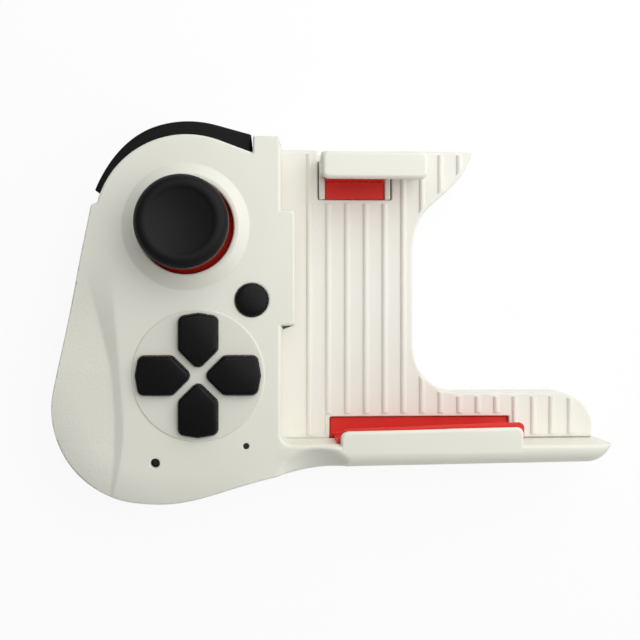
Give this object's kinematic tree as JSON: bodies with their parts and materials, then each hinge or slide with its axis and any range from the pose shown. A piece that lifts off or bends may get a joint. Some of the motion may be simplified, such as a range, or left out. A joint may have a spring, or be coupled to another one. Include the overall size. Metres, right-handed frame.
{
  "type": "mobile game controller",
  "caption": "One-handed phone gamepad: a rounded grip with thumbstick, arrow keys, select button and shoulder trigger beside a ribbed phone cradle with a sprung clamp jaw.",
  "frame": {"origin": "middle of the overall box to within a millimetre, on the flat back that the gamepad lies on", "axes": "+X from the grip to the open end of the phone cradle, +Y towards the shoulder trigger, +Z out of the face with the thumbstick and keys"},
  "size_m": [0.135, 0.0924, 0.035],
  "materials": {
    "white_abs": "satin moulded",
    "black_abs": "satin moulded",
    "stick_rubber": "matte",
    "red_abs": "satin",
    "red_rubber": "matte",
    "steel": "satin",
    "zinc_screw": "dark zinc",
    "circuit_board": "solder mask",
    "cell_foil": "satin foil",
    "flex": "satin film",
    "switch_black": "matte",
    "sensor_blue": "matte",
    "acetal": "matte",
    "silicone": "matte",
    "led": "gloss",
    "smoke_acrylic": "gloss"
  },
  "bodies": {
    "housing": {"front_shell": "white_abs", "rear_shell": "white_abs", "cradle_plate": "white_abs", "shell_screws": "zinc_screw", "plate_screws": "zinc_screw", "board_screws": "zinc_screw", "main_board": "circuit_board", "key_board": "circuit_board", "battery": "cell_foil", "flex_cable": "flex", "charge_socket": "steel", "stick_base": "steel", "stick_sensors": "sensor_blue", "stick_click_switch": "switch_black", "key_mat": "silicone", "reset_switch": "switch_black", "status_led": "led", "light_pipe": "smoke_acrylic", "trigger_pin": "steel", "trigger_spring": "steel", "trigger_switch": "switch_black", "lower_pad": "red_rubber", "jaw_springs": "steel"},
    "rocker": {"stick_rocker": "acetal"},
    "pivot": {"stick_pivot": "steel"},
    "stick": {"stick_shaft": "steel", "stick_dome": "red_abs", "stick_cap": "stick_rubber"},
    "bail": {"stick_bail": "acetal"},
    "key_up": {"key_up": "black_abs"},
    "key_left": {"key_left": "black_abs"},
    "key_down": {"key_down": "black_abs"},
    "key_right": {"key_right": "black_abs"},
    "select": {"select_button": "black_abs"},
    "trigger": {"shoulder_trigger": "black_abs"},
    "jaw": {"upper_jaw": "white_abs", "upper_pad": "red_rubber"}
  },
  "joints": [
    {"name": "stick_up_down", "type": "hinge", "parent": "housing", "child": "rocker", "pos_m": [-0.0345, 0.0212, 0.0086], "axis": [1, 0, 0], "range_deg": [-17, 17], "stiffness_Nm_per_rad": 0.05},
    {"name": "stick_left_right", "type": "hinge", "parent": "rocker", "child": "pivot", "pos_m": [-0.0345, 0.0212, 0.0086], "axis": [0, 1, 0], "range_deg": [-17, 17], "stiffness_Nm_per_rad": 0.05},
    {"name": "stick_press", "type": "slide", "parent": "pivot", "child": "stick", "axis": [0, 0, -1], "range_m": [0, 0.0004], "stiffness_N_per_m": 6000},
    {"name": "bail_follow", "type": "hinge", "parent": "housing", "child": "bail", "pos_m": [-0.0345, 0.0212, 0.0086], "axis": [0, 1, 0], "range_deg": [-18, 18]},
    {"name": "key_up_press", "type": "slide", "parent": "housing", "child": "key_up", "axis": [0, 0, -1], "range_m": [0, 0.0012], "stiffness_N_per_m": 1500, "deforming": ["key_mat"]},
    {"name": "key_left_press", "type": "slide", "parent": "housing", "child": "key_left", "axis": [0, 0, -1], "range_m": [0, 0.0012], "stiffness_N_per_m": 1500, "deforming": ["key_mat"]},
    {"name": "key_down_press", "type": "slide", "parent": "housing", "child": "key_down", "axis": [0, 0, -1], "range_m": [0, 0.0012], "stiffness_N_per_m": 1500, "deforming": ["key_mat"]},
    {"name": "key_right_press", "type": "slide", "parent": "housing", "child": "key_right", "axis": [0, 0, -1], "range_m": [0, 0.0012], "stiffness_N_per_m": 1500, "deforming": ["key_mat"]},
    {"name": "select_press", "type": "slide", "parent": "housing", "child": "select", "axis": [0, 0, -1], "range_m": [0, 0.0009], "stiffness_N_per_m": 1500, "deforming": ["key_mat"]},
    {"name": "trigger_pull", "type": "hinge", "parent": "housing", "child": "trigger", "pos_m": [-0.05332, 0.02781, 0.0115], "axis": [0, 0, -1], "range_deg": [0, 1.6], "stiffness_Nm_per_rad": 0.6, "springref_deg": -1.72, "deforming": ["trigger_spring"]},
    {"name": "jaw_slide", "type": "slide", "parent": "housing", "child": "jaw", "axis": [0, 1, 0], "range_m": [0, 0.022], "stiffness_N_per_m": 250, "springref_m": -0.012, "deforming": ["jaw_springs"]}
  ],
  "couplings": [
    {"joint": "bail_follow", "follows": "stick_left_right", "ratio": 1}
  ]
}
